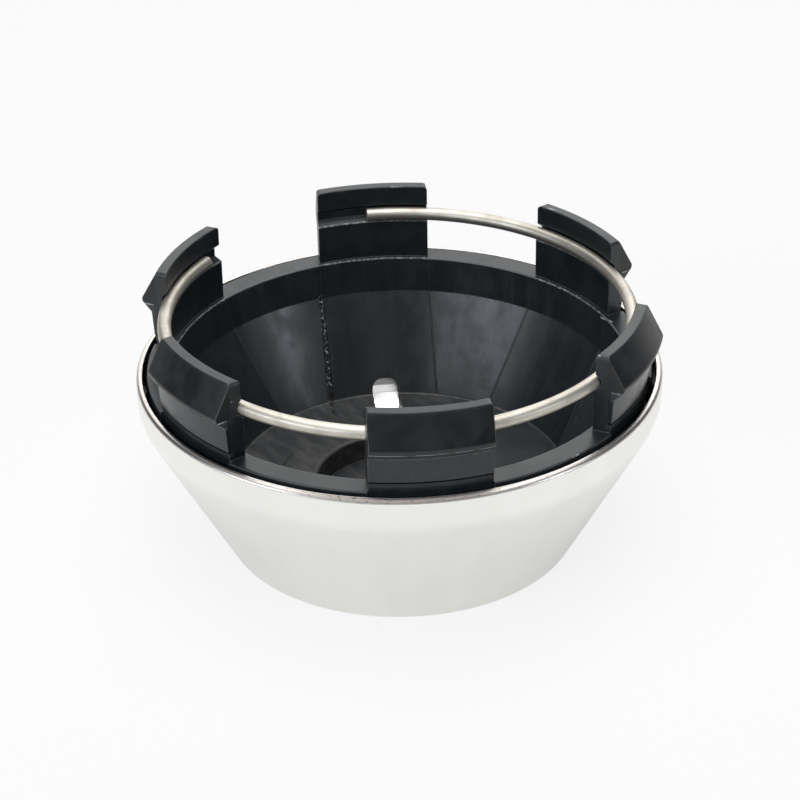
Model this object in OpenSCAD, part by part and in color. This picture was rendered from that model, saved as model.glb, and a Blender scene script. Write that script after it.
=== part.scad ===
// Snap-in centre cap for a car wheel, lying face down as it is handed over.
// A plated conical shell carries a moulded retainer with six sprung clips,
// and an open ring of spring wire presses the clips outwards into the bore.
// Millimetres, +Z along the cap's axis, origin at the middle of the flat face.

/* [Plated shell] */
// Diameter over the rim
rim_d = 115; // [108:0.5:122]
// Diameter of the flat face
face_d = 79; // [72:0.5:85]
// Height from the flat face to the rim
shell_h = 40.5; // [38:0.5:46]
// Height of the straight band under the rim
band_h = 6.4; // [4.5:0.1:8]
// Wall at the rim, where the shell is bored out for the retainer
rim_wall = 1.3; // [1.2:0.1:1.6]
// Wall of the cone
cone_wall = 2; // [1.7:0.1:2.4]
// Thickness of the flat face
face_wall = 2.2; // [1.8:0.1:2.8]
// Depth of the bored-out seat below the rim
seat_depth = 4.4; // [3.5:0.1:5]
// Rounding on the rim's outer edge
rim_round = 1; // [0.5:0.1:1.1]
// Rounding between the band and the cone
band_round = 9; // [3:0.5:11]
// Rounding on the edge of the flat face
face_round = 0.4; // [0.2:0.1:0.8]
// Fillet inside, between the cone and the face
inner_fillet = 16; // [8:0.5:18]

/* [Retainer cup] */
// Gap between the rim's bore and the retainer's flange
flange_gap = 1.1; // [0.6:0.1:1.6]
// How far the flange stands above the rim
flange_proud = 0.5; // [0:0.1:1]
// Width of the flange
flange_w = 5.2; // [4.8:0.1:6]
// Thickness of the flange
flange_t = 2.6; // [2:0.1:3]
// Rounding on the flange's two top edges
flange_round = 0.3; // [0.1:0.1:0.5]
// Height of the upright wall inside the flange
skirt_h = 8.1; // [6:0.1:9]
// How much smaller in radius the upright wall is at its foot
skirt_draft = 1.1; // [0.5:0.1:1.6]
// Wall of the cup
cup_wall = 2.4; // [2:0.1:2.8]
// Height of the cup's floor above the flat face
floor_z = 11.3; // [10.5:0.1:13]
// Diameter of the round recess in the floor
recess_d = 37.6; // [32:0.4:42]
// Depth of the recess
recess_depth = 5.8; // [4:0.1:6.5]
// Rounding on the recess's upper edge
recess_round = 0.8; // [0.4:0.1:1.2]
// Width of the window at the foot of the cup
window_w = 6.2; // [5:0.1:8]
// Height of the window's top above the floor
window_h = 3.4; // [3:0.1:5]
// Rounding on the window's two top corners
window_round = 2.4; // [1:0.1:2.5]
// How far the window reaches in from the floor's edge
window_in = 9.4; // [7:0.1:11]
// How far the window sits to one side of the clip above it
window_side = 1; // [-2:0.1:2]
// Thickness of the ribs that locate the cup in the shell
rib_t = 2; // [1.6:0.1:2.6]
// Height of the ribs' lower ends above the floor
rib_start = 4; // [3:0.5:8]
// Clearance wherever the retainer seats in the shell
seat_gap = 0.3; // [0.2:0.05:0.4]

/* [Clips] */
// Number of clips
clip_count = 6; // [5:1:6]
// Width of a clip
clip_w = 25.6; // [20:0.2:28]
// Height of the clips above the flange
clip_h = 17.75; // [16.5:0.25:20]
// Ledge left on the flange inside each clip
clip_inset = 0.95; // [0.5:0.05:1.4]
// Thickness of a clip at its top
top_t = 2.5; // [2:0.1:3]
// Thickness of a clip at its root, where it leaves the cup
root_t = 3.7; // [3.4:0.05:3.75]
// Thickness of a clip's stem at its foot, above the crease
foot_t = 4.05; // [3.95:0.05:4.2]
// Thickness of a clip's stem under the barb
neck_t = 4.4; // [4.2:0.05:4.5]
// How far the barb stands out past the stem
barb_reach = 2.15; // [1.6:0.05:2.4]
// Height of the middle of the barb's edge above the flange
barb_h = 10.65; // [9.8:0.05:11.2]
// Rounding on the barb's edge
barb_round = 1.2; // [0.6:0.1:1.4]
// Slope of the barb's underside, from upright
barb_slope = 43; // [35:1:55]
// How far the upper inner face is set back from the lower one
upper_setback = 0.4; // [0.2:0.05:0.6]
// Rounding on the clip's top corners
clip_round = 0.9; // [0.4:0.1:1.4]
// Depth of the wire groove
groove_depth = 1.6; // [1.2:0.05:1.8]
// Height of the crease across a clip's foot above the flange
crease_h = 2.2; // [1.6:0.1:2.6]
// Depth of the crease
crease_t = 0.3; // [0.1:0.05:0.4]
// Side clearance of the notch in the flange beside each clip
notch_gap = 0.25; // [0.1:0.05:0.6]

/* [Spring wire] */
// Diameter of the wire
wire_d = 3; // [2.4:0.1:3.2]
// Height of the wire's centre above the flange
wire_h = 11.2; // [10.6:0.1:11.8]
// Clearance between the wire and its groove
wire_gap = 0.3; // [0.2:0.05:0.4]
// Angle of the opening between the wire's ends
opening_angle = 50; // [40:1:56]
// Angle from a clip's middle to the wire's first end
opening_start = 1.5; // [0:0.5:6]

/* [Hidden] */
$fn = 120;
cut = 1;
overlap = 0.4;

// Shell: the cone's slope and the lines of its outer and inner walls
rim_r = rim_d / 2;
face_r = face_d / 2;
band_z = shell_h - band_h;
slope = (rim_r - face_r) / band_z;
lean = atan(slope);
cone_wall_r = cone_wall / cos(lean);
band_round_z = band_z + band_round * tan(lean / 2);
bore_r = rim_r - rim_wall;
seat_z = shell_h - seat_depth;
function cone_in(z) = face_r + slope * z - cone_wall_r;
inner_band_r = rim_r - cone_wall;
inner_band_z = (inner_band_r - cone_in(0)) / slope;

// Inner fillet: tangent to the face's inside and to the cone's inside
fillet_z = face_wall + inner_fillet;
fillet_r = cone_in(fillet_z) - inner_fillet / cos(lean);

// Retainer: flange, upright wall, cone and floor
flange_z = shell_h + flange_proud;
flange_low = flange_z - flange_t;
flange_r = bore_r - flange_gap;
cup_r = flange_r - flange_w;
skirt_z = flange_z - skirt_h;
skirt_r = cup_r - skirt_draft;
cup_wall_r = cup_wall / cos(lean);
floor_r = skirt_r - slope * (skirt_z - floor_z);
floor_low = floor_z - cup_wall;
function cup_out(z) = floor_r + slope * (z - floor_z) + cup_wall_r;
recess_r = recess_d / 2;
recess_z = floor_z - recess_depth;
recess_low = recess_z - cup_wall;
foot_z = face_wall + seat_gap;
foot_ring_w = 3;
window_y = floor_r - window_in + window_w / 2;
window_z = floor_z + window_h;

// Clips: everything stands on the flange
clip_pitch = 360 / clip_count;
clip_r = cup_r + clip_inset;
upper_r = clip_r + upper_setback;
top_z = flange_z + clip_h;
top_r = upper_r + top_t;
neck_r = clip_r + neck_t;
foot_r = clip_r + foot_t;
root_r = clip_r + root_t;
edge_round = 0.3;
root_low = flange_low - 3;

// Barb: a rounded edge, a sloped underside and a lead-in tangent to the edge and to the clip's top
barb_r = neck_r + barb_reach;
barb_z = flange_z + barb_h;
barb_x = barb_r - barb_round;
under_r = barb_x + barb_round * cos(barb_slope);
neck_z = barb_z - barb_round * sin(barb_slope) - (under_r - neck_r) / tan(barb_slope);
lead_dr = top_r - edge_round - barb_x;
lead_dz = top_z - edge_round - barb_z;
lead_a = atan2(lead_dz, lead_dr) - acos((barb_round - edge_round) / norm([lead_dr, lead_dz]));

// Foot: a crease, and under it a cove that runs in to the root
crease_z = flange_z + crease_h;
cove_out = foot_r - crease_t / 3 - root_r;
cove_h = crease_h - crease_t;
cove_a = 2 * atan(cove_out / cove_h);
cove_r = cove_h / sin(cove_a);

// Wire: it lies in the clips' groove
wire_r = wire_d / 2;
wire_z = flange_z + wire_h;
groove_r = clip_r + groove_depth;
ring_r = groove_r - wire_gap - wire_r;
groove_half = wire_r - 0.55;
mouth_half = wire_r + 0.55;

// Points of an arc about (cx, cy)
function arc(cx, cy, r, from, to, steps = 4) =
    [for (i = [0 : steps]) let (a = from + (to - from) * i / steps) [cx + r * cos(a), cy + r * sin(a)]];

// The shell: face, cone, band and the bored-out seat under the rim
module plated_shell() {
    color([0.86, 0.86, 0.84])
    rotate_extrude()
    polygon(concat(
        [[0, 0]],
        arc(face_r - face_round, face_round, face_round, -90, -lean),
        arc(rim_r - band_round, band_round_z, band_round, -lean, 0, 12),
        arc(rim_r - rim_round, shell_h - rim_round, rim_round, 0, 90, 10),
        [[bore_r, shell_h], [bore_r, seat_z]],
        [[inner_band_r, seat_z - (bore_r - inner_band_r)], [inner_band_r, inner_band_z]],
        arc(fillet_r, fillet_z, inner_fillet, -lean, -90, 10),
        [[0, face_wall]]
    ));
}

// Section of the cup: flange, upright wall, cone, floor and recess in one wall
module cup_section() {
    polygon(concat(
        [[0, recess_low]],
        [[recess_r + cup_wall, recess_low], [recess_r + cup_wall, floor_low]],
        [[cup_out(floor_low), floor_low], [cup_out(skirt_z), skirt_z]],
        [[cup_r + cup_wall, flange_low], [flange_r, flange_low]],
        arc(flange_r - flange_round, flange_z - flange_round, flange_round, 0, 90),
        arc(cup_r + flange_round, flange_z - flange_round, flange_round, 90, 180),
        [[skirt_r, skirt_z], [floor_r, floor_z]],
        arc(recess_r + recess_round, floor_z - recess_round, recess_round, 90, 180),
        [[recess_r, recess_z], [0, recess_z]]
    ));
}

// Section of a clip: root, cove, crease, stem, barb, lead-in, top and wire groove
module clip_section() {
    polygon(concat(
        [[clip_r - overlap, root_low], [cup_out(skirt_z) - overlap, root_low]],
        [[root_r, flange_low]],
        arc(root_r + cove_r, flange_z, cove_r, 180, 180 - cove_a),
        [[foot_r - crease_t, crease_z - crease_t / 3], [foot_r, crease_z], [neck_r, neck_z]],
        arc(barb_x, barb_z, barb_round, -barb_slope, lead_a, 8),
        arc(top_r - edge_round, top_z - edge_round, edge_round, lead_a, 90, 3),
        arc(upper_r + edge_round, top_z - edge_round, edge_round, 90, 180, 3),
        [[upper_r, wire_z + mouth_half], [groove_r, wire_z + groove_half]],
        [[groove_r, wire_z - groove_half], [clip_r, wire_z - mouth_half]],
        [[clip_r, flange_low], [clip_r - overlap, flange_low]]
    ));
}

// Front outline of a clip, with its two top corners rounded, as a block along +Y
module clip_block() {
    half = clip_w / 2;
    corner_z = top_z - clip_round;
    translate([0, barb_r + cut, 0])
    rotate([90, 0, 0])
    linear_extrude(height = barb_r - clip_r + overlap + 3 * cut)
    union() {
        translate([-half, root_low - cut]) square([clip_w, corner_z - root_low + cut]);
        translate([-half + clip_round, corner_z]) square([clip_w - 2 * clip_round, clip_round]);
        translate([-half + clip_round, corner_z]) circle(r = clip_round, $fn = 24);
        translate([half - clip_round, corner_z]) circle(r = clip_round, $fn = 24);
    }
}

// One clip, on +Y
module clip() {
    intersection() {
        rotate_extrude() clip_section();
        clip_block();
    }
}

// Two ribs under each clip, standing out from the cone to the shell's inner wall
module rib_pair() {
    low = floor_z + rib_start;
    high = flange_low + overlap;
    knee = min(inner_band_z, high - cut);
    for (side = [-1, 1])
    translate([side * clip_w / 3 - rib_t / 2, 0, 0])
    rotate([90, 0, 90])
    linear_extrude(height = rib_t)
    polygon([
        [rib_edge(cup_out(low) - overlap * 2), low],
        [rib_edge(cone_in(low) - seat_gap), low + 1],
        [rib_edge(cone_in(knee) - seat_gap), knee],
        [rib_edge(min(cone_in(knee) - seat_gap, flange_r - cut)), high],
        [rib_edge(cup_r + cup_wall / 2), high],
        [rib_edge(cup_out(skirt_z) - overlap * 2), skirt_z]
    ]);
}

// Distance along a rib, off the axis, of a point at radius r from the axis
function rib_edge(r) = sqrt(r * r - pow(clip_w / 3 + rib_t / 2, 2));

// The notch in the flange under one barb, outside the clip's root
module notch() {
    width = clip_w + 2 * notch_gap;
    difference() {
        translate([-width / 2, 0, flange_low - cut]) cube([width, flange_r + cut, flange_t + 2 * cut]);
        translate([0, 0, flange_low - 2 * cut]) cylinder(r = root_r - 0.01, h = flange_t + 4 * cut);
    }
}

// The window at the cup's foot: arched through the cone, open through the floor, with a round inner end
module window() {
    low = floor_low - cut;
    side = window_w / 2;
    arch_z = window_z - window_round;
    reach = cup_out(window_z) + cut - window_y;
    translate([window_side, window_y, low]) cylinder(r = side, h = floor_z - floor_low + 2 * cut);
    translate([window_side, window_y + reach, 0])
    rotate([90, 0, 0])
    linear_extrude(height = reach)
    union() {
        translate([-side, low]) square([window_w, arch_z - low]);
        translate([window_round - side, low]) square([window_w - 2 * window_round, window_z - low]);
        translate([window_round - side, arch_z]) circle(r = window_round, $fn = 48);
        translate([side - window_round, arch_z]) circle(r = window_round, $fn = 48);
    }
}

// The low ring under the recess that the cup stands on
module foot_ring() {
    translate([0, 0, foot_z])
    difference() {
        cylinder(r = recess_r, h = recess_low - foot_z + overlap);
        translate([0, 0, -cut]) cylinder(r = recess_r - foot_ring_w, h = recess_low - foot_z + overlap + 2 * cut);
    }
}

// The retainer: one moulding of cup, ribs and clips
module clip_retainer() {
    color([0.09, 0.09, 0.10])
    union() {
        difference() {
            union() {
                rotate_extrude() cup_section();
                foot_ring();
            }
            for (i = [0 : clip_count - 1]) rotate([0, 0, i * clip_pitch]) notch();
            window();
        }
        for (i = [0 : clip_count - 1]) rotate([0, 0, i * clip_pitch]) {
            clip();
            rib_pair();
        }
    }
}

// The wire: a round section swept round the clips, with square-cut ends
module spring_wire() {
    color([0.72, 0.70, 0.66])
    rotate([0, 0, 90 + opening_start + opening_angle])
    rotate_extrude(angle = 360 - opening_angle)
    translate([ring_r, wire_z]) circle(r = wire_r, $fn = 24);
}

plated_shell();
clip_retainer();
spring_wire();
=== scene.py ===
"""A wheel's centre cap lying face down on a pale floor: plated shell, black sprung cup and wire ring."""
import functools
import logging
import math
from dataclasses import dataclass, field
from enum import Enum
from typing import Union

import bmesh
import bpy
from mathutils import Matrix, Vector

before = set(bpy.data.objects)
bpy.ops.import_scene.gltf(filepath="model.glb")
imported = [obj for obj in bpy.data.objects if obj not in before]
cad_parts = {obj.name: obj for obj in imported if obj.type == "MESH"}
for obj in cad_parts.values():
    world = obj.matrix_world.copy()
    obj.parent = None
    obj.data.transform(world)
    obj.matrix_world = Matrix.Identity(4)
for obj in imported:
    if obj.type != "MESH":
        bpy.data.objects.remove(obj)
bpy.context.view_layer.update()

log = logging.getLogger("centre_cap")
Number = Union[float, "Sock"]
Colour = tuple[float, float, float]
Point = tuple[float, float, float]
Span = tuple[float, float]
MM_PER_M = 1000.0
CLIP_COUNT = 6
WHITE_WATTS = 4.0


class Sock:
    """A shader socket that takes part in plain Python arithmetic."""

    def __init__(self, tree: "Tree", link: bpy.types.NodeSocket) -> None:
        """Wraps link, an output socket of one of tree's nodes."""
        self.tree = tree
        self.link = link

    def __add__(self, other: Number) -> "Sock":
        """self + other."""
        return self.tree.math("ADD", self, other)

    __radd__ = __add__

    def __sub__(self, other: Number) -> "Sock":
        """self - other."""
        return self.tree.math("SUBTRACT", self, other)

    def __rsub__(self, other: Number) -> "Sock":
        """other - self."""
        return self.tree.math("SUBTRACT", other, self)

    def __mul__(self, other: Number) -> "Sock":
        """self * other."""
        return self.tree.math("MULTIPLY", self, other)

    __rmul__ = __mul__

    def __abs__(self) -> "Sock":
        """The size of self."""
        return self.tree.math("ABSOLUTE", self)

    def above(self, other: Number) -> "Sock":
        """1 where self is more than other, otherwise 0."""
        return self.tree.math("GREATER_THAN", self, other)

    def most(self, other: Number) -> "Sock":
        """The larger of self and other."""
        return self.tree.math("MAXIMUM", self, other)

    def least(self, other: Number) -> "Sock":
        """The smaller of self and other."""
        return self.tree.math("MINIMUM", self, other)

    def around(self, middle: float, half: float, soft: float) -> "Sock":
        """1 within half of middle, fading to 0 over soft on each side."""
        return self.between(middle - half, middle + half, soft)

    def between(self, low: float, high: float, soft: float) -> "Sock":
        """1 where self lies from low to high, fading to 0 over soft on each side.

        Args:
            low: Where the band starts.
            high: Where the band ends.
            soft: Width of each fade.

        Returns:
            The band's mask.
        """
        return self.rise(low - soft, low) * (1.0 - self.rise(high, high + soft))

    def rise(self, start: float, end: float, low: float = 0.0, high: float = 1.0) -> "Sock":
        """A smooth step from low at start to high at end.

        Args:
            start: Value of self where the step starts.
            end: Value of self where the step ends.
            low: Result at and before start.
            high: Result at and past end.

        Returns:
            The stepped value.
        """
        inputs = {"Value": self, "From Min": start, "From Max": end, "To Min": low, "To Max": high}
        node = self.tree.node("ShaderNodeMapRange", {"interpolation_type": "SMOOTHSTEP"}, inputs)
        return self.tree.out(node, "Result")


class Tree:
    """A node tree of a material or the world, with one method that adds any node."""

    def __init__(self, name: str) -> None:
        """Makes a material with an empty tree.

        Args:
            name: What the material is called.
        """
        self.material = bpy.data.materials.new(name)
        self.material.use_nodes = True
        self._open(self.material.node_tree)

    @classmethod
    def of_world(cls, world: bpy.types.World) -> "Tree":
        """Takes over the tree of a world.

        Args:
            world: The world whose nodes are replaced.

        Returns:
            Its emptied tree.
        """
        tree = cls.__new__(cls)
        tree._open(world.node_tree)
        return tree

    def _open(self, node_tree: bpy.types.NodeTree) -> None:
        """Empties a tree and keeps its nodes and links at hand.

        Args:
            node_tree: The tree of a material or the world.
        """
        self.nodes = node_tree.nodes
        self.links = node_tree.links
        self.nodes.clear()

    def node(self, kind: str, settings: dict[str, object],
             inputs: dict[Union[str, int], object]) -> bpy.types.Node:
        """Adds a node, sets it up and fills its sockets.

        Args:
            kind: The node's type, such as ShaderNodeMath.
            settings: The node's own settings, set before its sockets.
            inputs: A value or a Sock for each socket, by name or place.

        Returns:
            The new node.
        """
        made = self.nodes.new(kind)
        for name, value in settings.items():
            setattr(made, name, value)
        for key, value in inputs.items():
            if isinstance(value, Sock):
                self.links.new(value.link, made.inputs[key])
            else:
                made.inputs[key].default_value = value
        return made

    def out(self, node: bpy.types.Node, name: Union[str, int]) -> Sock:
        """The output of node called name, ready for arithmetic."""
        return Sock(self, node.outputs[name])

    def math(self, operation: str, *values: Number) -> Sock:
        """One Math node on values."""
        node = self.node("ShaderNodeMath", {"operation": operation}, dict(enumerate(values)))
        return self.out(node, 0)

    def vector(self, operation: str, *values: object) -> Sock:
        """One Vector Math node on values."""
        node = self.node("ShaderNodeVectorMath", {"operation": operation}, dict(enumerate(values)))
        return self.out(node, "Value" if operation in ("DISTANCE", "DOT_PRODUCT") else "Vector")

    def noise(self, place: Sock, scale: float, detail: float = 2.0, rough: float = 0.5) -> Sock:
        """Noise from 0 to 1 at place, with scale ripples to the unit."""
        inputs = {"Vector": place, "Scale": scale, "Detail": detail, "Roughness": rough}
        return self.out(self.node("ShaderNodeTexNoise", {}, inputs), "Fac")

    def tint(self, factor: Number, first: Union[Colour, Sock], second: Union[Colour, Sock]) -> Sock:
        """A colour that goes from one colour to another.

        Args:
            factor: 0 for the first colour, 1 for the second.
            first: A colour, or a link that carries one.
            second: The same for the second colour.

        Returns:
            The mixed colour.
        """
        def rgba(colour: Union[Colour, Sock]) -> object:
            """The colour with an alpha of 1, unless it is a link."""
            return colour if isinstance(colour, Sock) else (*colour, 1.0)
        node = self.node("ShaderNodeMix", {"data_type": "RGBA"}, {0: factor, 6: rgba(first), 7: rgba(second)})
        return self.out(node, 2)

    def pack(self, x: Number, y: Number, z: Number) -> Sock:
        """A vector of three values."""
        return self.out(self.node("ShaderNodeCombineXYZ", {}, {0: x, 1: y, 2: z}), 0)

    def rounded(self, radius_mm: float) -> Sock:
        """A normal that rounds every edge to radius_mm."""
        node = self.node("ShaderNodeBevel", {"samples": 4}, {"Radius": radius_mm / MM_PER_M})
        return self.out(node, "Normal")

    def edges(self, rounded: Sock) -> Sock:
        """How far the rounded normal leans from the flat face: 0 on a face, more along an edge."""
        face = self.out(self.node("ShaderNodeNewGeometry", {}, {}), "Normal")
        return 1.0 - self.vector("DOT_PRODUCT", rounded, face)

    def bump(self, height: Number, depth_mm: float, base: Sock) -> Sock:
        """The normal base with relief from height, where 1 stands depth_mm proud."""
        inputs = {"Distance": depth_mm / MM_PER_M, "Height": height, "Normal": base}
        return self.out(self.node("ShaderNodeBump", {}, inputs), "Normal")

    def straight(self) -> Sock:
        """1 for light that goes straight to the camera, otherwise 0."""
        return self.out(self.node("ShaderNodeLightPath", {}, {}), "Is Camera Ray")

    def seen(self) -> Sock:
        """1 for light that goes to the camera, straight or by way of gloss or glass, otherwise 0.

        Returns:
            The mask of such light.
        """
        path = self.node("ShaderNodeLightPath", {}, {})
        indirect = self.out(path, "Is Transmission Ray").most(self.out(path, "Is Glossy Ray"))
        return self.straight().most(indirect)

    def mixed(self, factor: Number, first: bpy.types.Node, second: bpy.types.Node) -> bpy.types.Node:
        """A Mix Shader node from first to second by factor."""
        links = {1: Sock(self, first.outputs[0]), 2: Sock(self, second.outputs[0])}
        return self.node("ShaderNodeMixShader", {}, {0: factor, **links})

    def finish(self, shader: bpy.types.Node) -> bpy.types.Material:
        """Joins a shader to the material's output.

        Args:
            shader: The last shader node.

        Returns:
            The material, ready to use.
        """
        output = self.node("ShaderNodeOutputMaterial", {}, {})
        self.links.new(shader.outputs[0], output.inputs["Surface"])
        return self.material


class Place:
    """Where a shaded point lies on the cap, in millimetres and radians."""

    def __init__(self, tree: Tree) -> None:
        """Reads the point from Object coordinates and turns it into x, y, z, radius, azimuth and across.

        The last is how far it lies to the side of the nearest clip's middle.

        Args:
            tree: The tree that the nodes go into.
        """
        self.tree = tree
        coords = tree.out(tree.node("ShaderNodeTexCoord", {}, {}), "Object")
        scaled = tree.node("ShaderNodeVectorMath", {"operation": "SCALE"}, {0: coords, "Scale": MM_PER_M})
        self.mm = tree.out(scaled, "Vector")
        split = tree.node("ShaderNodeSeparateXYZ", {}, {0: self.mm})
        self.x, self.y, self.z = (tree.out(split, i) for i in range(3))
        self.radius = tree.math("SQRT", self.x * self.x + self.y * self.y)
        self.azimuth = tree.math("ARCTAN2", self.y, self.x)
        pitch = math.tau / CLIP_COUNT
        folded = tree.math("FLOORED_MODULO", self.azimuth + (4.0 * math.pi - pitch), pitch) - pitch / 2.0
        self.across = self.radius * tree.math("SINE", folded)

    def wrapped(self, around: float, upright: float) -> Sock:
        """Coordinates round the axis and up it, with their own ripples to the radian and the millimetre."""
        return self.tree.pack(self.tree.math("SINE", self.azimuth) * around,
                              self.tree.math("COSINE", self.azimuth) * around, self.z * upright)

    def near(self, point: Point, size: float, soft: float) -> Sock:
        """A round spot: 1 within size of point, fading to 0 over soft."""
        gap = self.tree.vector("DISTANCE", self.mm, point)
        return 1.0 - gap.rise(size, size + soft)

    def along(self, start: Point, end: Point, half: float, soft: float) -> Sock:
        """A straight mark.

        Args:
            start: Where the mark starts.
            end: Where it ends.
            half: Half its width.
            soft: Width over which it fades to 0.

        Returns:
            The mark's mask.
        """
        run = Vector(end) - Vector(start)
        offset = self.tree.vector("SUBTRACT", self.mm, start)
        share = self.tree.vector("DOT_PRODUCT", offset, tuple(run / run.length_squared)).most(0.0).least(1.0)
        inputs = {0: tuple(run), "Scale": share}
        nearest = self.tree.node("ShaderNodeVectorMath", {"operation": "SCALE"}, inputs)
        gap = self.tree.vector("DISTANCE", offset, self.tree.out(nearest, "Vector"))
        return 1.0 - gap.rise(half, half + soft)


@dataclass(frozen=True)
class ChromePlate:
    """Soft bright plating, faintly streaked, with a dull nicked rim, a painted dark reflection on the rim's
    front and a paler inside.
    """

    colour: Colour = (0.935, 0.925, 0.880)
    haze: Colour = (0.90, 0.89, 0.845)
    inside: Colour = (0.97, 0.97, 0.955)
    nicked: Colour = (0.26, 0.21, 0.18)
    lip: Colour = (0.78, 0.73, 0.69)
    # the lip's front: dull, and painted darker as a painted reflection of the black front clip behind it
    dull_lip_painted_reflection: Colour = (0.41, 0.38, 0.355)
    polish: float = 0.16
    face_r: float = 39.5
    slope: float = 0.528
    wall: float = 1.0
    rim_z: float = 40.5
    bore_r: float = 56.2
    dull_reflecting_y: Span = (-54.0, -46.0)
    dull_reflecting_x: Span = (8.0, 18.0)

    def material(self) -> bpy.types.Material:
        """Builds the plating's material.

        Returns:
            The finished material.
        """
        tree = Tree("chrome_plating")
        at = Place(tree)
        streaks = tree.noise(at.wrapped(9.0, 0.05), 1.0, 3.0, 0.6)
        hazy = streaks * 0.6 + tree.noise(at.mm, 0.04, 2.0) * 0.4
        lip = at.z.rise(self.rim_z - 0.9, self.rim_z - 0.5)
        lip = lip * at.radius.rise(self.bore_r - 0.1, self.bore_r + 0.1)
        # the rim's front: rougher and more chipped, and painted darker there as a painted reflection of the
        # front clip
        dull_reflecting_front = (1.0 - at.y.rise(*self.dull_reflecting_y)) * (1.0 - at.x.rise(*self.dull_reflecting_x))
        pits = tree.noise(at.wrapped(60.0, 2.5), 1.0, 3.0, 0.7).rise(0.57, 0.66)
        small_marks = pits * lip * (dull_reflecting_front * 0.7 + 0.3)

        colour = tree.tint(hazy.rise(0.30, 0.70), self.colour, self.haze)
        # painted reflection: the lip's colour goes darker at the front, where it mirrors the black front clip
        colour = tree.tint(lip, colour, tree.tint(dull_reflecting_front, self.lip, self.dull_lip_painted_reflection))
        colour = tree.tint(small_marks * 0.85, colour, self.nicked)
        colour = tree.tint(self._within(at), colour, self.inside)
        rough = self.polish + hazy * 0.03 + lip * (dull_reflecting_front * 0.30 + 0.14) + small_marks * 0.2
        relief = tree.bump(streaks * 0.2 - small_marks, 0.02, tree.rounded(0.3))
        return tree.finish(tree.node("ShaderNodeBsdfPrincipled", {}, {
            "Base Color": colour, "Metallic": 1.0, "Roughness": rough, "Normal": relief}))

    def _within(self, at: Place) -> Sock:
        """The shell's inside: nearer the axis than the middle of its wall, and off the show face.

        Args:
            at: Where the point lies.

        Returns:
            The inside's mask.
        """
        middle = (self.face_r - self.wall + at.z * self.slope).least(self.bore_r + 0.1)
        return middle.above(at.radius) * at.z.rise(1.0, 1.2)


@dataclass(frozen=True)
class BrightMark:
    """A small bright mark from start to end, half wide each way; the list holds chips, smears and painted
    highlight specks.
    """

    start: Point
    end: Point
    half: float
    strength: float = 1.0


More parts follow.
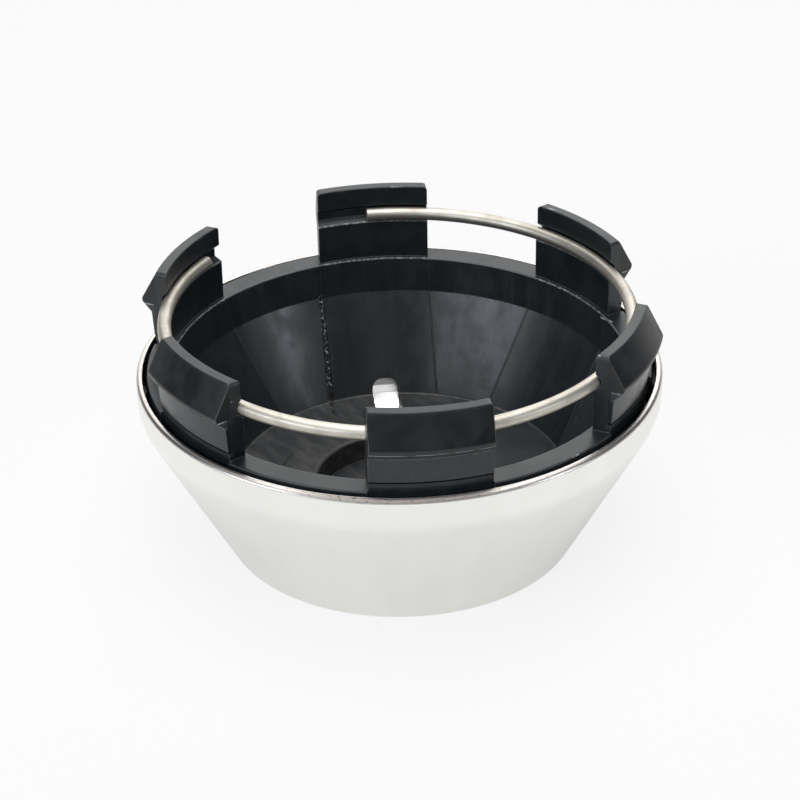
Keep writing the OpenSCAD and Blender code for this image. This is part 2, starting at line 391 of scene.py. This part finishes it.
@dataclass(frozen=True)
class BlackPlastic:
    """Moulded black plastic: satin clips, a drawn cup with mould lines, and a rubbed floor, with painted
    highlights, highlight specks and sheen on edges, lines and wall panels, and painted shade in the crease
    and on the barbs' lead-in faces.
    """

    colour: Colour = (0.0122, 0.0156, 0.0178)
    smudged: Colour = (0.0205, 0.0240, 0.0265)
    # pale wear; also painted highlights on the edges, the barbs' undersides and necks, the feet's cove and
    # the mould lines
    wear_and_highlight: Colour = (0.14, 0.14, 0.135)
    # rubbed floor colour, also a painted highlight on the recess's rounded edge
    scuffed_and_highlit: Colour = (0.064, 0.064, 0.065)
    # painted sheen on the cup's wall, strongest on the panels between the clips
    panel_sheen: Colour = (0.125, 0.150, 0.165)
    # colour of the mould flash and the scratch; also painted shade in the crease and on the barbs' lead-in
    # faces
    seam_and_shade: Colour = (0.004, 0.004, 0.004)
    # colour of chips and smears, and of painted highlight specks and lines
    chip_and_glint: Colour = (0.42, 0.43, 0.44)
    polish: float = 0.29
    least_rough: float = 0.28
    line_side: float = 12.85
    flange_z: float = 41.0
    crease_z: float = 43.05
    floor_z: float = 11.3
    skirt_z: float = 32.9
    neck_z: float = 48.9
    edge_z: float = 50.65
    groove_z: float = 50.15
    ring_edge_r: float = 50.0
    floor_r: float = 37.4
    recess_r: float = 18.8
    groove_r: float = 50.85
    root_r: float = 53.5
    clip_r: float = 54.2
    top_r: float = 53.75
    flash_top: Point = (-12.85, 46.9, 32.9)
    flash_foot: Point = (-12.3, 35.4, 11.3)
    flash_end: Point = (-12.0, 29.5, 11.3)
    rubbed_at: Point = (-14.0, -4.0, 11.3)
    rubbing_and_highlight_end: Span = (8.0, 28.0)
    back_floor: Span = (10.0, 25.0)
    scratch: tuple[Point, Point] = ((-25.9, 8.6, 11.3), (-23.4, 12.9, 11.3))
    # chips on the back and right clips' tops and on the flange, pale smears on the cup's wall, a pale mark on
    # the flange's inner edge, and painted highlight specks on the right-front clip's top corner, the
    # left-front clip's end and the front barb's edge
    small_marks: tuple[BrightMark, ...] = (
        BrightMark((4.6, 51.1, 58.7), (7.2, 50.7, 58.7), 0.05, 0.6),
        BrightMark((38.8, 34.2, 58.75), (39.9, 33.2, 58.7), 0.14),
        BrightMark((36.6, -36.6, 58.7), (37.3, -35.9, 58.7), 0.14),
        BrightMark((-38.5, -37.0, 54.7), (-38.4, -37.1, 54.5), 0.05),
        BrightMark((30.2, -45.9, 41.1), (31.7, -45.0, 41.1), 0.12),
        BrightMark((0.8, -56.4, 50.7), (3.0, -56.3, 50.7), 0.16),
        BrightMark((49.3, 10.6, 41.0), (47.6, 14.5, 40.2), 0.12),
        BrightMark((42.6, 8.0, 22.4), (42.2, 7.6, 21.4), 0.15, 0.25),
        BrightMark((41.2, 6.6, 19.2), (40.7, 6.1, 18.2), 0.15, 0.12),
    )

    def material(self) -> bpy.types.Material:
        """Builds the plastic's material.

        Returns:
            The finished material.
        """
        tree = Tree("black_plastic")
        at = Place(tree)
        grain = tree.noise(at.mm, 1.3, 3.0, 0.6)
        cloud = tree.noise(at.mm, 0.11, 3.0, 0.55)
        crumbs = tree.noise(at.mm, 1.3, 2.0, 0.7)
        drawn = tree.noise(at.wrapped(16.0, 0.06), 1.0, 4.0, 0.65)
        smudges = tree.noise(at.mm, 0.16, 4.0, 0.6).rise(0.42, 0.66)
        edge = tree.rounded(0.35)

        bottom = 1.0 - at.z.rise(self.floor_z + 0.1, self.floor_z + 0.4)
        wall = (1.0 - bottom) * (1.0 - at.z.rise(self.flange_z - 0.5, self.flange_z))
        cone = wall * (1.0 - at.z.rise(self.skirt_z - 0.2, self.skirt_z + 0.2))
        between = abs(at.across).rise(self.line_side, self.line_side + 0.15) * wall
        line = (1.0 - abs(abs(at.across) - self.line_side).rise(0.08, 0.28)) * wall
        outer = at.radius.rise(self.clip_r - 0.2, self.clip_r)
        lead_in = at.radius.rise(self.top_r, self.top_r + 0.3) * at.z.rise(self.edge_z, self.edge_z + 0.5)
        stem = at.z.between(self.crease_z, self.neck_z, 0.1) * outer
        # the crease along the stems' feet, which gets painted shade
        crease = at.z.around(self.crease_z, 0.1, 0.15) * outer
        flash = self._flash(at)
        scuffs_and_rim_highlight = self._rubbing_and_rim_highlight(at) * bottom
        # dark marks: the mould flash and the scratch, plus painted shade in the crease
        dark = flash.most(crease).most(at.along(*self.scratch, 0.15, 0.25))
        # painted highlight specks on the mould flash, the small bright marks, and painted highlight lines
        chips_and_glints = (flash * crumbs.rise(0.58, 0.66) * 0.8).most(self._bright_marks(at)).most(self._highlight_lines(at, crumbs))

        colour = tree.tint((smudges * 0.6).most(wall * drawn.rise(0.35, 0.7)), self.colour, self.smudged)
        # painted sheen: the cone wall tinted pale bluish, more so on its panels between the clips
        colour = tree.tint((between * 0.10 + 0.02) * cone, colour, self.panel_sheen)
        # rubbing on the floor, plus a painted highlight on the recess's edge
        colour = tree.tint(scuffs_and_rim_highlight, colour, self.scuffed_and_highlit)
        # painted shade: the barbs' sloped lead-in faces darkened toward black
        colour = tree.tint(lead_in * 0.7, colour, self.seam_and_shade)
        # painted highlight: the mould lines tinted a touch paler
        colour = tree.tint(line * 0.09, colour, self.wear_and_highlight)
        # pale wear and painted highlights along the edges, on the barbs' undersides and necks and in the
        # feet's cove
        colour = tree.tint(self._wear_and_highlights(at, edge), colour, self.wear_and_highlight)
        # the mould flash and the scratch, and painted shade in the crease
        colour = tree.tint(dark, colour, self.seam_and_shade)
        # chips and smears, with painted highlight specks and lines
        colour = tree.tint(chips_and_glints, colour, self.chip_and_glint)

        rough = self.polish + cloud * 0.03 + smudges * 0.10 + between * (drawn - 0.5) * 0.2 + bottom * 0.12
        rough = rough.most(self.least_rough) - stem * 0.12 + crease * 0.5
        relief = grain * 0.22 + cloud * 0.5 + drawn * wall * 0.26 + between * 0.9 - line * 2.0
        relief = relief + flash * crumbs * 9.0 + scuffs_and_rim_highlight * grain - crease * 4.0
        shader = tree.node("ShaderNodeBsdfPrincipled", {}, {
            "Base Color": colour, "Roughness": rough, "IOR": 1.5, "Normal": tree.bump(relief, 0.05, edge)})
        # painted shade: the crease mixed toward a black diffuse
        crease_shade = tree.node("ShaderNodeBsdfDiffuse", {}, {"Color": (*self.seam_and_shade, 1.0)})
        return tree.finish(tree.mixed(crease * 0.8, shader, crease_shade))

    def _flash(self, at: Place) -> Sock:
        """The ragged mould flash down the cup's wall and out over its floor, left of the clip above the
        window.
        """
        down = at.along(self.flash_top, self.flash_foot, 0.5, 0.3)
        return down.most(at.along(self.flash_foot, self.flash_end, 0.15, 0.3))

    def _rubbing_and_rim_highlight(self, at: Place) -> Sock:
        """Cloudy rubbing over the left of the cup's floor, and a painted highlight along the rounded edge of
        its recess.

        Args:
            at: Where the point lies.

        Returns:
            The rubbing's mask, for points on the floor.
        """
        drawn_out = at.tree.pack(at.x * 0.35 + at.y * 0.25, at.y * 0.06 - at.x * 0.09, at.z)
        rubbed = at.tree.noise(drawn_out, 1.0, 4.0, 0.6).rise(0.38, 0.68)
        rubbed = rubbed * 0.8 + at.near(self.rubbed_at, 3.0, 12.0) * 0.35 + 0.12
        # painted highlight on the recess's rounded edge
        step = at.radius.between(self.recess_r - 0.1, self.recess_r + 0.7, 0.4)
        step = step * at.z.rise(self.floor_z - 0.7, self.floor_z - 0.3)
        return (rubbed + step * 0.7) * (1.0 - at.x.rise(*self.rubbing_and_highlight_end))

    def _wear_and_highlights(self, at: Place, edge: Sock) -> Sock:
        """Pale wear and painted highlight along the edges, broken up; painted highlights on the barbs'
        undersides, necks and feet; and a pale broken line on the back of the floor's rim.

        Args:
            at: Where the point lies.
            edge: The normal with its edges rounded.

        Returns:
            The mask of the wear and the painted highlights.
        """
        patchy = at.tree.noise(at.mm, 0.7, 3.0, 0.7)
        # pale wear and painted highlight along the edges, broken up
        wear_and_highlight = at.tree.edges(edge).rise(0.01, 0.16) * patchy.rise(0.30, 0.62, 0.3, 1.25)
        barb = at.radius.rise(self.clip_r + 0.4, self.clip_r + 0.6)
        # painted highlight on the barbs' downward-facing undersides
        underside_highlight = at.z.between(self.neck_z, self.edge_z, 0.15) * barb
        # painted highlight along the barbs' necks, broken up
        neck = at.z.around(self.neck_z, 0.08, 0.12) * barb
        # painted highlight on the cove below the feet's crease, which mirrors dark surroundings
        cove_highlight = at.z.between(self.crease_z - 1.1, self.crease_z - 0.3, 0.2)
        cove_highlight = cove_highlight * at.radius.rise(self.root_r - 0.1, self.root_r + 0.1)
        rim = at.radius.between(self.floor_r - 0.25, self.floor_r + 0.1, 0.15)
        rim = rim * at.z.between(self.floor_z - 0.1, self.floor_z + 0.2, 0.2) * at.y.rise(*self.back_floor)
        wear_and_highlight = wear_and_highlight.most(underside_highlight * 0.14).most(neck * patchy.rise(0.35, 0.65, 0.2, 0.8))
        return wear_and_highlight.most(cove_highlight * 0.18).most(rim * patchy.rise(0.3, 0.6, 0.1, 0.5))

    def _highlight_lines(self, at: Place, crumbs: Sock) -> Sock:
        """Broken painted highlight lines along the flange's inner edge, the wire groove's lower lip and the
        barbs' edges.

        Args:
            at: Where the point lies.
            crumbs: The noise that breaks the lines up.

        Returns:
            The lines' mask.
        """
        clip = 1.0 - abs(at.across).rise(self.line_side - 0.2, self.line_side)
        broken = crumbs.rise(0.48, 0.60, 0.15, 0.75)
        ring = at.radius.between(self.ring_edge_r - 0.1, self.ring_edge_r + 0.15, 0.1)
        ring = ring * at.z.between(self.flange_z - 0.3, self.flange_z + 0.1, 0.1)
        lip = at.radius.between(self.groove_r - 0.1, self.groove_r + 0.2, 0.1)
        lip = lip * at.z.between(self.groove_z - 0.1, self.groove_z + 0.15, 0.1)
        barb = at.z.around(self.edge_z, 0.08, 0.12) * at.radius.rise(self.clip_r + 0.4, self.clip_r + 0.6)
        barb = barb * at.tree.noise(at.mm, 0.35, 2.0).rise(0.40, 0.58, 0.2, 0.9)
        return (ring * (broken * clip + 0.28 * (1.0 - clip))).most(lip * broken).most(barb)

    def _bright_marks(self, at: Place) -> Sock:
        """The small bright marks, broken up: chips, smears and painted highlight specks.

        Args:
            at: Where the point lies.

        Returns:
            The nicks' mask.
        """
        broken = at.tree.noise(at.mm, 1.5, 2.0, 0.7).rise(0.35, 0.60, 0.2, 1.2)
        marks = [at.along(bright_mark.start, bright_mark.end, bright_mark.half, 0.2) * bright_mark.strength for bright_mark in self.small_marks]
        return functools.reduce(Sock.most, marks) * broken


@dataclass(frozen=True)
class SpringSteel:
    """Drawn spring wire with fine lines along its length and a few stains."""

    colour: Colour = (0.62, 0.59, 0.52)
    dull: Colour = (0.50, 0.465, 0.40)
    polish: float = 0.46
    ring_r: float = 50.65
    wire_z: float = 52.2
    ripples_round: float = 4.0
    ripples_along: float = 9.0

    def material(self) -> bpy.types.Material:
        """Builds the wire's material.

        Returns:
            The finished material.
        """
        tree = Tree("spring_steel")
        at = Place(tree)
        turn = tree.math("ARCTAN2", at.z - self.wire_z, at.radius - self.ring_r)
        drawn = tree.pack(tree.math("SINE", turn) * self.ripples_round,
                          tree.math("COSINE", turn) * self.ripples_round, at.azimuth * self.ripples_along)
        lines = tree.noise(drawn, 1.0, 3.0, 0.6)
        stains = tree.noise(at.mm, 0.25, 3.0)
        colour = tree.tint((lines * 0.4 + stains * 0.6).rise(0.42, 0.68), self.colour, self.dull)
        rough = self.polish + (lines - 0.5) * 0.14 + (stains - 0.5) * 0.12
        relief = tree.bump(lines, 0.012, tree.rounded(0.2))
        return tree.finish(tree.node("ShaderNodeBsdfPrincipled", {}, {
            "Base Color": colour, "Metallic": 1.0, "Roughness": rough, "Normal": relief}))


@dataclass(frozen=True)
class PaleFloor:
    """A matt white floor that looks white to the camera and in gloss, and keeps the cap's shadow."""

    colour: Colour = (0.86, 0.86, 0.86)
    lift: float = 0.82
    gloss_lift: float = 0.45

    def material(self) -> bpy.types.Material:
        """Builds the floor's material.

        Returns:
            The finished material.
        """
        tree = Tree("pale_floor")
        matt = tree.node("ShaderNodeBsdfDiffuse", {}, {"Color": (*self.colour, 1.0)})
        white = tree.node("ShaderNodeEmission", {}, {"Color": (1.0, 1.0, 1.0, 1.0), "Strength": 1.0})
        share = tree.seen() * self.gloss_lift + tree.straight() * (self.lift - self.gloss_lift)
        return tree.finish(tree.mixed(share, matt, white))


@dataclass(frozen=True)
class GreyScreen:
    """Matt grey cloth for the screen round the set."""

    colour: Colour = (0.11, 0.115, 0.13)

    def material(self) -> bpy.types.Material:
        """Builds the screen's material."""
        tree = Tree("grey_screen")
        return tree.finish(tree.node("ShaderNodeBsdfDiffuse", {}, {"Color": (*self.colour, 1.0)}))


class Part(Enum):
    """The cap's three pieces, by the names of their solids."""

    SHELL = "plated_shell"
    RETAINER = "clip_retainer"
    WIRE = "spring_wire"


def dress(part: Part, material: bpy.types.Material) -> None:
    """Gives a solid its material.

    Args:
        part: Which solid to dress.
        material: The finish it takes.
    """
    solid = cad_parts[part.value]
    solid.data.materials.clear()
    solid.data.materials.append(material)
    log.info("%s dressed in %s", part.value, material.name)


@dataclass
class Shell:
    """The plated shell."""

    finish: ChromePlate = field(default_factory=ChromePlate)

    def build(self) -> None:
        """Dresses the shell."""
        dress(Part.SHELL, self.finish.material())


@dataclass
class Retainer:
    """The black cup with its six clips."""

    finish: BlackPlastic = field(default_factory=BlackPlastic)

    def build(self) -> None:
        """Dresses the cup and its clips."""
        dress(Part.RETAINER, self.finish.material())


@dataclass
class WireRing:
    """The open ring of spring wire."""

    finish: SpringSteel = field(default_factory=SpringSteel)

    def build(self) -> None:
        """Dresses the wire."""
        dress(Part.WIRE, self.finish.material())


@dataclass
class Lamp:
    """A soft oblong lamp that faces the cap, placed by its direction from it."""

    name: str
    azimuth: float
    elevation: float
    distance: float
    width: float
    height: float
    glow: float
    colour: Colour = (1.0, 1.0, 1.0)

    def build(self, aim: Vector) -> None:
        """Adds the lamp, with glow as its brightness where white is 1.

        Args:
            aim: The point that it faces.
        """
        turn, lift = math.radians(self.azimuth), math.radians(self.elevation)
        out = Vector((math.cos(lift) * math.cos(turn), math.cos(lift) * math.sin(turn), math.sin(lift)))
        data = bpy.data.lights.new(self.name, "AREA")
        data.shape = "RECTANGLE"
        data.size = self.width
        data.size_y = self.height
        data.energy = WHITE_WATTS * self.width * self.height * self.glow
        data.color = self.colour
        lamp = bpy.data.objects.new(self.name, data)
        bpy.context.scene.collection.objects.link(lamp)
        lamp.location = aim + out * self.distance
        lamp.rotation_euler = out.to_track_quat("Z", "Y").to_euler()


@dataclass
class Studio:
    """The pale floor, the soft lamps, the white surroundings and a grey screen out of the picture."""

    floor_side: float = 6.0
    fill: float = 0.30
    aim: Point = (0.0, 0.0, 0.03)
    screen_r: float = 1.45
    screen_h: float = 2.20
    screen_open: tuple[float, float] = (50.0, 120.0)
    lamps: tuple[Lamp, ...] = (
        Lamp("overhead", 90.0, 86.0, 1.2, 1.1, 1.1, 1.75),
        Lamp("back", 91.0, 31.0, 1.25, 0.8, 0.6, 0.52),
        Lamp("back_right", 61.0, 29.0, 1.25, 0.5, 0.6, 0.95),
        Lamp("front_left", -145.0, 23.0, 1.2, 1.1, 0.42, 3.1, (0.94, 0.99, 1.07)),
        Lamp("front_right", -31.0, 20.0, 1.2, 0.26, 0.30, 5.5, (0.94, 0.99, 1.07)),
        Lamp("front", -84.0, 34.0, 1.2, 0.34, 0.16, 0.8),
        Lamp("front_top", -88.0, 56.0, 1.2, 0.35, 0.35, 4.2),
    )

    def build(self) -> None:
        """Adds the floor, the screen, the lamps and the world."""
        self._floor()
        self._screen()
        self._world()
        for lamp in self.lamps:
            lamp.build(Vector(self.aim))
        bpy.context.scene.view_settings.view_transform = "Standard"

    def _floor(self) -> None:
        """Adds the floor that the cap's face lies on."""
        bpy.ops.object.select_all(action="DESELECT")
        bpy.ops.mesh.primitive_plane_add(size=self.floor_side, location=(0.0, 0.0, 0.0))
        floor = bpy.context.object
        floor.name = "studio_floor"
        floor.data.materials.append(PaleFloor().material())

    def _screen(self) -> None:
        """Adds a grey screen round the front and sides, to keep glare off the clips' slanted faces."""
        bpy.ops.object.select_all(action="DESELECT")
        bpy.ops.mesh.primitive_cylinder_add(vertices=72, radius=self.screen_r, depth=self.screen_h,
                                            end_fill_type="NOTHING", location=(0.0, 0.0, 0.0))
        screen = bpy.context.object
        screen.name = "grey_screen"
        bpy.ops.object.mode_set(mode="EDIT")
        bpy.ops.mesh.select_all(action="DESELECT")
        mesh = bmesh.from_edit_mesh(screen.data)
        low, high = self.screen_open
        for face in mesh.faces:
            middle = face.calc_center_median()
            face.select = low < math.degrees(math.atan2(middle.y, middle.x)) < high
        bmesh.update_edit_mesh(screen.data)
        bpy.ops.mesh.delete(type="FACE")
        bpy.ops.mesh.select_all(action="SELECT")
        bpy.ops.transform.translate(value=(0.0, 0.0, self.screen_h / 2.0))
        bpy.ops.object.mode_set(mode="OBJECT")
        screen.visible_camera = False
        screen.data.materials.append(GreyScreen().material())

    def _world(self) -> None:
        """Makes the surroundings white to the camera, in gloss and in glass, and a softer fill elsewhere."""
        world = bpy.data.worlds.new("studio")
        bpy.context.scene.world = world
        world.use_nodes = True
        tree = Tree.of_world(world)
        strength = self.fill + tree.seen() * (1.0 - self.fill)
        white = (1.0, 1.0, 1.0, 1.0)
        background = tree.node("ShaderNodeBackground", {}, {"Color": white, "Strength": strength})
        output = tree.node("ShaderNodeOutputWorld", {}, {})
        tree.links.new(background.outputs[0], output.inputs["Surface"])


@dataclass
class PhotoCamera:
    """The camera of the photograph."""

    distance: float = 0.56896
    azimuth: float = -96.494
    elevation: float = 29.03
    aim_z: float = 0.040
    pan: float = 0.005
    tilt: float = -0.793
    roll: float = -0.932
    lens: float = 116.85
    sensor: float = 36.0
    nearest: float = 0.01

    def build(self) -> None:
        """Adds the camera and makes it the scene's own."""
        a, e = math.radians(self.azimuth), math.radians(self.elevation)
        pan, tilt, roll = (math.radians(v) for v in (self.pan, self.tilt, self.roll))
        out = Vector((math.cos(e) * math.cos(a), math.cos(e) * math.sin(a), math.sin(e)))
        eye = out * self.distance + Vector((0.0, 0.0, self.aim_z))
        right = (-out).cross(Vector((0.0, 0.0, 1.0))).normalized()
        up = right.cross(-out)
        level = math.cos(tilt)
        aim = -out * math.cos(pan) * level + right * math.sin(pan) * level + up * math.sin(tilt)
        aim.normalize()
        right = aim.cross(up).normalized()
        up = right.cross(aim)
        turned = right * math.cos(roll) + up * math.sin(roll)
        up = up * math.cos(roll) - right * math.sin(roll)
        data = bpy.data.cameras.new("photo_camera")
        data.lens = self.lens
        data.sensor_width = self.sensor
        data.sensor_fit = "HORIZONTAL"
        data.clip_start = self.nearest
        camera = bpy.data.objects.new("photo_camera", data)
        bpy.context.scene.collection.objects.link(camera)
        camera.matrix_world = Matrix((
            (turned.x, up.x, -aim.x, eye.x),
            (turned.y, up.y, -aim.y, eye.y),
            (turned.z, up.z, -aim.z, eye.z),
            (0.0, 0.0, 0.0, 1.0)))
        bpy.context.scene.camera = camera


def main() -> None:
    """Builds the camera, the studio and the cap's three pieces."""
    logging.basicConfig(level=logging.INFO)
    PhotoCamera().build()
    Studio().build()
    Shell().build()
    Retainer().build()
    WireRing().build()


if __name__ == "__main__":
    main()
